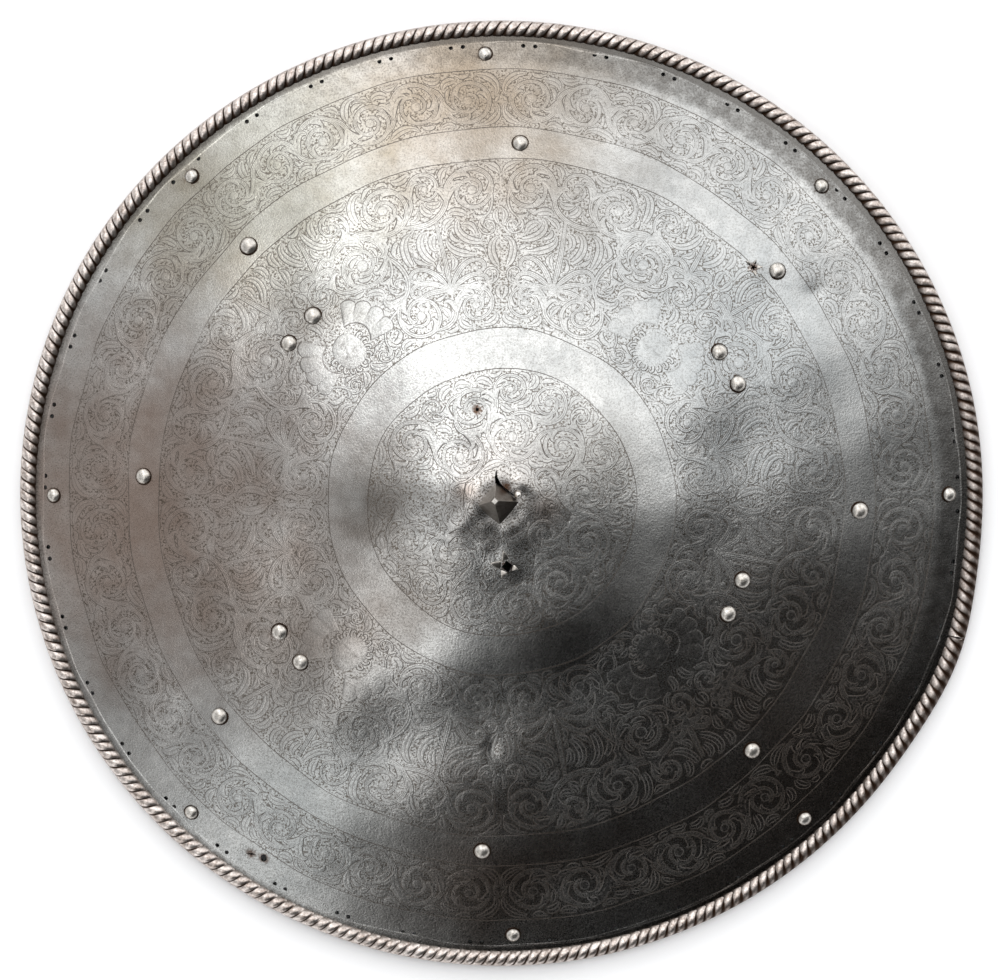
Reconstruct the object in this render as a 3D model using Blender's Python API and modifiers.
"""Rondache: a round shield of steel plate with a roped rim, domed rivets and a square centre spike.

It lies on its rim with the spike up. The origin is the middle of the rim's underside, +Z is up and
+Y is the side that was uppermost on the arm. All sizes are in metres and all angles in degrees.
"""

import math

import bmesh
import bpy
from mathutils import Matrix, Vector

# Bowl of the shield
SHIELD_WIDTH = 0.580
SHIELD_LENGTH = 0.5705
PLATE_THICKNESS = 0.0015
PLATE_RISE = 0.0645
PROFILE_POWER = 1.4
OUT_OF_ROUND_POWER = 1.5

# Rolled and roped rim
ROLL_DIAMETER = 0.0108
ROLL_JOIN_ANGLE = 150.0
ROPE_LAST_ANGLE = 10.0
ROPE_ROWS = 3
ROPE_STRANDS = 288
ROPE_GROOVE_DEPTH = 0.0011
ROPE_LEAD_IN_STRANDS = 1.1
RIM_FLAT_WIDTH = 0.003
ROLL_FILLET = 0.003

# Domed rivets, with their peened tails on the back
RIM_RIVET_HEAD = 0.0084
BODY_RIVET_HEAD = 0.0096
RIVET_DOME_SHARE = 0.36
RIVET_SHANK = 0.0044
RIVET_TAIL = 0.0072
RIVET_TAIL_FLAT = 0.0060
RIVET_TAIL_HEIGHT = 0.0011
RIM_RIVET_SPACE = 0.0061
RIM_RIVET_ANGLES = (0.4, 44.7, 92.1, 133.5, 179.7, 225.9, 271.5, 312.9)
BAND_RIVET_CIRCLE = 0.736
BAND_RIVET_ANGLES = (358.1, 40.0, 87.0, 134.6, 176.3, 217.9, 266.9, 314.6)
STRAP_PAIRS = ((30.5, 0.537), (139.3, 0.538), (214.9, 0.527), (337.5, 0.517))
STRAP_PAIR_SPACING = 0.0216

# Lining holes, punched in pairs by eye just inside the rope
LINING_PAIRS = 41
LINING_HOLE = 0.0026
LINING_HOLE_SPACE = 0.0036
LINING_PAIR_SPACING = 0.0072
LINING_WANDER = 2.7
LINING_WANDER_PHASE = 35.0
LINING_DRIFT = 1.0

# Centre spike, a square pyramid that leans a little
SPIKE_DIAGONAL = 0.0243
SPIKE_HEIGHT = 0.025
SPIKE_TIP = 0.0034
SPIKE_OFFSET = Vector((-0.002, 0.0))
SPIKE_LEAN = Vector((-0.0019, 0.0029))
SPIKE_TURN = 5.0
TENON_DIAMETER = 0.008
TENON_TAIL = 0.013
TENON_TAIL_HEIGHT = 0.002
SEAT_MARGIN = 0.0005

# Battle damage: places are an angle and a share of the shield's radius
BURST_PLACE, BURST_SIZE = (275.1, 0.1276), 0.0052
STAR_PLACE, STAR_SIZE = (43.0, 0.704), 0.0034
PRICK_PLACE, PRICK_SIZE = (104.5, 0.1945), 0.0026
SHOT_PLACE, SHOT_SIZE = (237.0, 0.909), 0.0048
GOUGE_PLACE, GOUGE_LENGTH, GOUGE_WIDTH, GOUGE_TURN = (235.4, 0.9165), 0.0072, 0.0018, -57.0
TEAR_PLACE, TEAR_LENGTH, TEAR_WIDTH = (98.0, 0.034), 0.0105, 0.0044
CRACK_ANGLE, CRACK_LENGTH, CRACK_WIDTH = 342.6, 0.0155, 0.0024
BLOW_ANGLE, BLOW_SPREAD, BLOW_PUSH, BLOW_FADE_POWER = 340.0, 9.0, 0.0034, 8.0

# Fit and fineness
SEAT_GAP = 0.0003
SHANK_CLEARANCE = 0.0004
BOWL_SEGMENTS = 48
BOWL_RING_SHARES = (0.16, 0.33)
ROUND_SEGMENTS = 7
CUT_DEPTH = 0.03

# Sizes that follow from those above
SHIELD_RADIUS = SHIELD_WIDTH / 2
ROLL_RADIUS = ROLL_DIAMETER / 2
ROLL_CENTRE = SHIELD_RADIUS - ROLL_RADIUS
EDGE_RADIUS = ROLL_CENTRE + ROLL_RADIUS * math.cos(math.radians(ROLL_JOIN_ANGLE))
EDGE_HEIGHT = ROLL_RADIUS * (1 + math.sin(math.radians(ROLL_JOIN_ANGLE)))
SEAT_RADIUS = SPIKE_DIAGONAL / 2 + SPIKE_OFFSET.length + SEAT_MARGIN
ROLL_INNER_RADIUS = SHIELD_RADIUS - ROLL_DIAMETER
RIM_RIVET_RADIUS = ROLL_INNER_RADIUS - RIM_RIVET_SPACE - RIM_RIVET_HEAD / 2
LINING_RADIUS = ROLL_INNER_RADIUS - LINING_HOLE_SPACE - LINING_HOLE / 2
RIVET_SIZES = {"rim": RIM_RIVET_HEAD, "band": BODY_RIVET_HEAD, "strap": BODY_RIVET_HEAD}


def plate_height(radius):
    """Height of the bowl's front: nearly a cone, flat under the spike."""
    share = max(radius, SEAT_RADIUS) / EDGE_RADIUS
    return EDGE_HEIGHT + PLATE_RISE * (1 - share ** PROFILE_POWER)


def plate_slope(radius):
    """Angle in radians between the bowl and the ground along a radius."""
    if radius <= SEAT_RADIUS:
        return 0.0
    fall = PLATE_RISE * PROFILE_POWER / EDGE_RADIUS * (radius / EDGE_RADIUS) ** (PROFILE_POWER - 1)
    return math.atan(fall)


def back_height(radius):
    """Height of the bowl's back, one thickness under the front."""
    return plate_height(radius) - PLATE_THICKNESS / math.cos(plate_slope(radius))


def facet_drop():
    """How far the middle of a flat facet near the edge lies below the true bowl."""
    return EDGE_RADIUS * (1 - math.cos(math.pi / BOWL_SEGMENTS)) * math.tan(plate_slope(EDGE_RADIUS))


def tail_top():
    """Height of the top of a peened tail, measured from the bowl's front."""
    return -(PLATE_THICKNESS + facet_drop() + SEAT_GAP)


def hammered(radius, angle):
    """Plan position of a point of the truly round shield, now out of round and bulged by a blow."""
    share = radius / SHIELD_RADIUS
    squash = 1 - (1 - SHIELD_LENGTH / SHIELD_WIDTH) * share ** OUT_OF_ROUND_POWER
    from_blow = (angle - BLOW_ANGLE + 180) % 360 - 180
    push = BLOW_PUSH * math.exp(-((from_blow / BLOW_SPREAD) ** 2)) * share ** BLOW_FADE_POWER
    turn = math.radians(angle)
    return Vector(((radius + push) * math.cos(turn), (radius + push) * math.sin(turn) * squash))


def seat(radius, angle):
    """Matrix of a place on the bowl's front, with Z straight out of the plate and X down the slope."""
    plan = hammered(radius, angle)
    lean = Matrix.Rotation(plate_slope(radius), 4, "Y")
    turn = Matrix.Rotation(math.radians(angle), 4, "Z")
    return Matrix.Translation((plan.x, plan.y, plate_height(radius))) @ turn @ lean


def steel(name, colour, roughness):
    """Material of one steel part."""
    material = bpy.data.materials.new(name)
    material.use_nodes = True
    shader = material.node_tree.nodes["Principled BSDF"]
    shader.inputs["Base Color"].default_value = (*colour, 1)
    shader.inputs["Roughness"].default_value = roughness
    shader.inputs["Metallic"].default_value = 1
    return material


def new_object(name, mesh, collection, material=None):
    """Object for a mesh, linked into its collection."""
    part = bpy.data.objects.new(name, mesh)
    collection.objects.link(part)
    if material:
        mesh.materials.append(material)
    return part


def mesh_from(bm, name):
    """Mesh made from a finished bmesh, with outward faces and smooth shading."""
    bmesh.ops.recalc_face_normals(bm, faces=bm.faces)
    mesh = bpy.data.meshes.new(name)
    bm.to_mesh(mesh)
    bm.free()
    mesh.shade_smooth()
    mesh.set_sharp_from_angle(angle=math.radians(35))
    return mesh


def turned(bm, profile):
    """Turn a profile of (radius, height) points about Z."""
    points = [bm.verts.new((radius, 0, height)) for radius, height in profile]
    edges = [bm.edges.new(pair) for pair in zip(points, points[1:])]
    bmesh.ops.spin(
        bm, geom=points + edges, axis=(0, 0, 1), cent=(0, 0, 0), steps=BOWL_SEGMENTS, angle=math.tau,
        use_merge=True,
    )


def open_ring(bm, radius, height):
    """Edges of the turned bowl's open border at one radius and height."""
    def on_ring(vert):
        place = vert.co
        return abs(math.hypot(place.x, place.y) - radius) < 1e-6 and abs(place.z - height) < 1e-6

    return [edge for edge in bm.edges if edge.is_boundary and all(on_ring(v) for v in edge.verts)]


def rope_row(bm, section_angle):
    """One row of points along the rope, on its strands' ridges and grooves in turn.

    Going outward over the roll the strands run clockwise, so each row is turned a little more.
    """
    done = (ROLL_JOIN_ANGLE - section_angle) / (ROLL_JOIN_ANGLE - ROPE_LAST_ANGLE)
    columns = 2 * ROPE_STRANDS
    lead = ROPE_LEAD_IN_STRANDS * done * math.tau / ROPE_STRANDS
    row = []
    for column in range(columns):
        reach = ROLL_RADIUS - ROPE_GROOVE_DEPTH * (column % 2)
        radius = ROLL_CENTRE + reach * math.cos(math.radians(section_angle))
        height = ROLL_RADIUS + reach * math.sin(math.radians(section_angle))
        turn = math.tau * column / columns - lead
        row.append(bm.verts.new((radius * math.cos(turn), radius * math.sin(turn), height)))
    return row


def row_edges(bm, row):
    """Edges that join a closed row of points."""
    return [bm.edges.get(pair) for pair in zip(row, row[1:] + row[:1])]


def add_rope(bm):
    """Roped part of the roll, from the bowl over the top to the outside; returns its two border rows."""
    step = (ROPE_LAST_ANGLE - ROLL_JOIN_ANGLE) / (ROPE_ROWS - 1)
    rows = [rope_row(bm, ROLL_JOIN_ANGLE + step * index) for index in range(ROPE_ROWS)]
    count = len(rows[0])
    for inner, outer in zip(rows, rows[1:]):
        for here in range(count):
            after = (here + 1) % count
            bm.faces.new((inner[here], outer[here], outer[after], inner[after]))
    return row_edges(bm, rows[0]), row_edges(bm, rows[-1])


def plate_mesh():
    """The bowl and its rolled rim as one closed body."""
    shares = (*BOWL_RING_SHARES, STRAP_PAIRS[0][1], BAND_RIVET_CIRCLE)
    rings = [SEAT_RADIUS, *(share * SHIELD_RADIUS for share in shares), EDGE_RADIUS - ROLL_FILLET]
    front = [(0, plate_height(0))] + [(radius, plate_height(radius)) for radius in rings]
    underside = [
        (ROLL_CENTRE + RIM_FLAT_WIDTH / 2, 0),
        (ROLL_CENTRE - RIM_FLAT_WIDTH / 2, 0),
        (ROLL_CENTRE - ROLL_RADIUS, ROLL_RADIUS),
    ]
    back = underside + [(radius, back_height(radius)) for radius in reversed(rings)] + [(0, back_height(0))]

    bm = bmesh.new()
    turned(bm, front)
    turned(bm, back)
    bmesh.ops.remove_doubles(bm, verts=bm.verts, dist=1e-6)
    front_border = open_ring(bm, *front[-1])
    back_border = open_ring(bm, *back[0])
    inner_row, outer_row = add_rope(bm)
    bmesh.ops.bridge_loops(bm, edges=front_border + inner_row)
    bmesh.ops.bridge_loops(bm, edges=back_border + outer_row)
    bmesh.ops.triangulate(bm, faces=[face for face in bm.faces if len(face.verts) > 3])
    for vert in bm.verts:
        plan = hammered(math.hypot(vert.co.x, vert.co.y), math.degrees(math.atan2(vert.co.y, vert.co.x)))
        vert.co.x, vert.co.y = plan
    return mesh_from(bm, "plate")


def add_prism(bm, place, sides, width, length=None, turn=0.0):
    """Straight cutter through the plate, with corners evenly round an outline of this width and length."""
    outline = Matrix.Diagonal(((length or width) / 2, width / 2, 1, 1))
    bmesh.ops.create_cone(
        bm, cap_ends=True, segments=sides, radius1=1, radius2=1, depth=CUT_DEPTH,
        matrix=place @ Matrix.Rotation(math.radians(turn), 4, "Z") @ outline,
    )


def add_wedge(bm, place, width, length, turn=0.0):
    """Straight cutter through the plate: its blunt end is at the place and it runs out to a point along X."""
    corner_height = 1.5
    outline = Matrix.Diagonal((length / corner_height, width / math.sqrt(3), 1, 1))
    along = Matrix.Translation((length / 3, 0, 0)) @ outline @ Matrix.Rotation(-math.pi / 2, 4, "Z")
    bmesh.ops.create_cone(
        bm, cap_ends=True, segments=3, radius1=1, radius2=1, depth=CUT_DEPTH,
        matrix=place @ Matrix.Rotation(math.radians(turn), 4, "Z") @ along,
    )


def share_seat(place):
    """Place on the plate of something given by its angle and its share of the shield's radius."""
    angle, share = place
    return seat(share * SHIELD_RADIUS, angle)


def rivet_places():
    """Kind, number and place of every rivet."""
    for number, angle in enumerate(RIM_RIVET_ANGLES, 1):
        yield "rim", number, seat(RIM_RIVET_RADIUS, angle)
    for number, angle in enumerate(BAND_RIVET_ANGLES, 1):
        yield "band", number, share_seat((angle, BAND_RIVET_CIRCLE))
    for pair, (angle, share) in enumerate(STRAP_PAIRS):
        half_turn = math.degrees(STRAP_PAIR_SPACING / 2 / (share * SHIELD_RADIUS))
        yield "strap", 2 * pair + 1, share_seat((angle - half_turn, share))
        yield "strap", 2 * pair + 2, share_seat((angle + half_turn, share))


def lining_hole_angles():
    """Angles of the lining holes: even pairs that wander, and that open where a rivet is in the way."""
    half_pair = math.degrees(LINING_PAIR_SPACING / 2 / LINING_RADIUS)
    half_rivet = math.degrees((RIM_RIVET_HEAD / 2 + LINING_HOLE) / RIM_RIVET_RADIUS)
    for index in range(1, LINING_PAIRS + 1):
        even = 360 * index / LINING_PAIRS
        middle = even + LINING_DRIFT - LINING_WANDER * math.sin(math.radians(even + LINING_WANDER_PHASE))
        near = min(RIM_RIVET_ANGLES, key=lambda angle: abs((angle - middle + 180) % 360 - 180))
        if abs((near - middle + 180) % 360 - 180) < half_rivet:
            yield from (near - 1.5 * half_rivet, near + 1.5 * half_rivet)
        else:
            yield from (middle - half_pair, middle + half_pair)


def cutter(name, fill, collection):
    """Hidden cutter object made by a function that fills a bmesh."""
    bm = bmesh.new()
    fill(bm)
    part = new_object(name, mesh_from(bm, name), collection)
    part.hide_render = True
    part.display_type = "WIRE"
    return part


def fill_rivet_holes(bm):
    """Holes for the rivets' shanks and the spike's tenon."""
    for _, _, place in rivet_places():
        add_prism(bm, place, ROUND_SEGMENTS, RIVET_SHANK + 2 * SHANK_CLEARANCE)
    add_prism(bm, spike_place(), ROUND_SEGMENTS, TENON_DIAMETER + 2 * SHANK_CLEARANCE)


def fill_lining_holes(bm):
    """Small holes by which the lining was sewn in."""
    for angle in lining_hole_angles():
        add_prism(bm, seat(LINING_RADIUS, angle), 4, LINING_HOLE)


def fill_damage(bm):
    """Pierced holes, the gouge and the crack through the rim."""
    add_prism(bm, share_seat(BURST_PLACE), 4, BURST_SIZE)
    add_prism(bm, share_seat(STAR_PLACE), 5, STAR_SIZE)
    add_prism(bm, share_seat(PRICK_PLACE), 4, PRICK_SIZE)
    add_prism(bm, share_seat(SHOT_PLACE), ROUND_SEGMENTS, SHOT_SIZE)
    add_prism(bm, share_seat(GOUGE_PLACE), 4, GOUGE_WIDTH, GOUGE_LENGTH, GOUGE_TURN)
    add_wedge(bm, share_seat(TEAR_PLACE), TEAR_WIDTH, TEAR_LENGTH)
    add_wedge(bm, seat(SHIELD_RADIUS + CRACK_WIDTH, CRACK_ANGLE), CRACK_WIDTH, CRACK_LENGTH, 180)


def cut(part, tool, operation="DIFFERENCE"):
    """Boolean modifier that joins or takes away another object."""
    modifier = part.modifiers.new(tool.name, "BOOLEAN")
    modifier.operation = operation
    modifier.solver = "EXACT"
    modifier.object = tool


def screw(part):
    """Screw modifier that turns a profile into a closed round body."""
    modifier = part.modifiers.new("turned", "SCREW")
    modifier.axis = "Z"
    modifier.steps = ROUND_SEGMENTS
    modifier.render_steps = ROUND_SEGMENTS
    modifier.use_merge_vertices = True
    modifier.merge_threshold = 0.00001
    modifier.use_smooth_shade = True


def profile_mesh(name, profile):
    """Mesh of a profile of (radius, height) points, from top to bottom on its outer side."""
    mesh = bpy.data.meshes.new(name)
    points = [(radius, 0, height) for radius, height in profile]
    mesh.from_pydata(points, [(here, here + 1) for here in range(len(points) - 1)], [])
    return mesh


def rivet_mesh(kind):
    """Profile of a rivet: domed head, shank through the plate and peened tail.

    The tail of a strap rivet has a flat end, where an arm strap's washer bears. The others' are round.
    """
    head = RIVET_SIZES[kind]
    dome = RIVET_DOME_SHARE * head
    end = tail_top() - RIVET_TAIL_HEIGHT
    tail = [(RIVET_TAIL / 2, tail_top()), (0, end)]
    if kind == "strap":
        tail.insert(1, (RIVET_TAIL_FLAT / 2, end))
    return profile_mesh(f"{kind}_rivet", [
        (0, SEAT_GAP + dome),
        (0.36 * head, SEAT_GAP + 0.69 * dome),
        (head / 2, SEAT_GAP),
        (RIVET_SHANK / 2, SEAT_GAP),
        (RIVET_SHANK / 2, tail_top()),
        *tail,
    ])


def spike_place():
    """Matrix of the spike's seat in the middle of the bowl."""
    middle = Matrix.Translation((SPIKE_OFFSET.x, SPIKE_OFFSET.y, plate_height(0)))
    return middle @ Matrix.Rotation(math.radians(SPIKE_TURN), 4, "Z")


def add_spike(collection, cutters, material):
    """The square spike, leaning, joined to the round tenon that is peened over behind the plate."""
    bm = bmesh.new()
    bmesh.ops.create_cone(
        bm, cap_ends=True, segments=4, radius1=SPIKE_DIAGONAL / 2, radius2=SPIKE_TIP / 2, depth=SPIKE_HEIGHT,
        matrix=spike_place() @ Matrix.Translation((0, 0, SEAT_GAP + SPIKE_HEIGHT / 2)),
    )
    for vert in bm.verts:
        if vert.co.z > plate_height(0) + SPIKE_HEIGHT / 2:
            vert.co.x += SPIKE_LEAN.x
            vert.co.y += SPIKE_LEAN.y
    spike = new_object("centre_spike", mesh_from(bm, "centre_spike"), collection, material)

    tenon = new_object("tenon", profile_mesh("tenon", [
        (0, SPIKE_HEIGHT / 3),
        (TENON_DIAMETER / 2, SPIKE_HEIGHT / 3),
        (TENON_DIAMETER / 2, tail_top()),
        (TENON_TAIL / 2, tail_top()),
        (TENON_TAIL / 2, tail_top() - TENON_TAIL_HEIGHT),
        (0, tail_top() - TENON_TAIL_HEIGHT),
    ]), cutters)
    tenon.matrix_world = spike_place()
    tenon.hide_render = True
    tenon.display_type = "WIRE"
    screw(tenon)
    cut(spike, tenon, "UNION")


def main():
    """Build the shield's parts."""
    for old in list(bpy.data.objects):
        bpy.data.objects.remove(old, do_unlink=True)
    shield = bpy.data.collections.new("rondache_shield")
    cutters = bpy.data.collections.new("cutters")
    bpy.context.scene.collection.children.link(shield)
    bpy.context.scene.collection.children.link(cutters)
    plate_steel = steel("plate_steel", (0.36, 0.35, 0.33), 0.42)
    rivet_steel = steel("rivet_steel", (0.46, 0.45, 0.43), 0.35)
    spike_steel = steel("spike_steel", (0.30, 0.29, 0.27), 0.40)

    plate = new_object("plate", plate_mesh(), shield, plate_steel)
    for name, fill in (
        ("rivet_holes", fill_rivet_holes),
        ("lining_holes", fill_lining_holes),
        ("damage", fill_damage),
    ):
        cut(plate, cutter(name, fill, cutters))

    add_spike(shield, cutters, spike_steel)
    meshes = {kind: rivet_mesh(kind) for kind in RIVET_SIZES}
    for mesh in meshes.values():
        mesh.materials.append(rivet_steel)
    for kind, number, place in rivet_places():
        rivet = new_object(f"{kind}_rivet_{number}", meshes[kind], shield)
        rivet.matrix_world = place
        screw(rivet)


main()
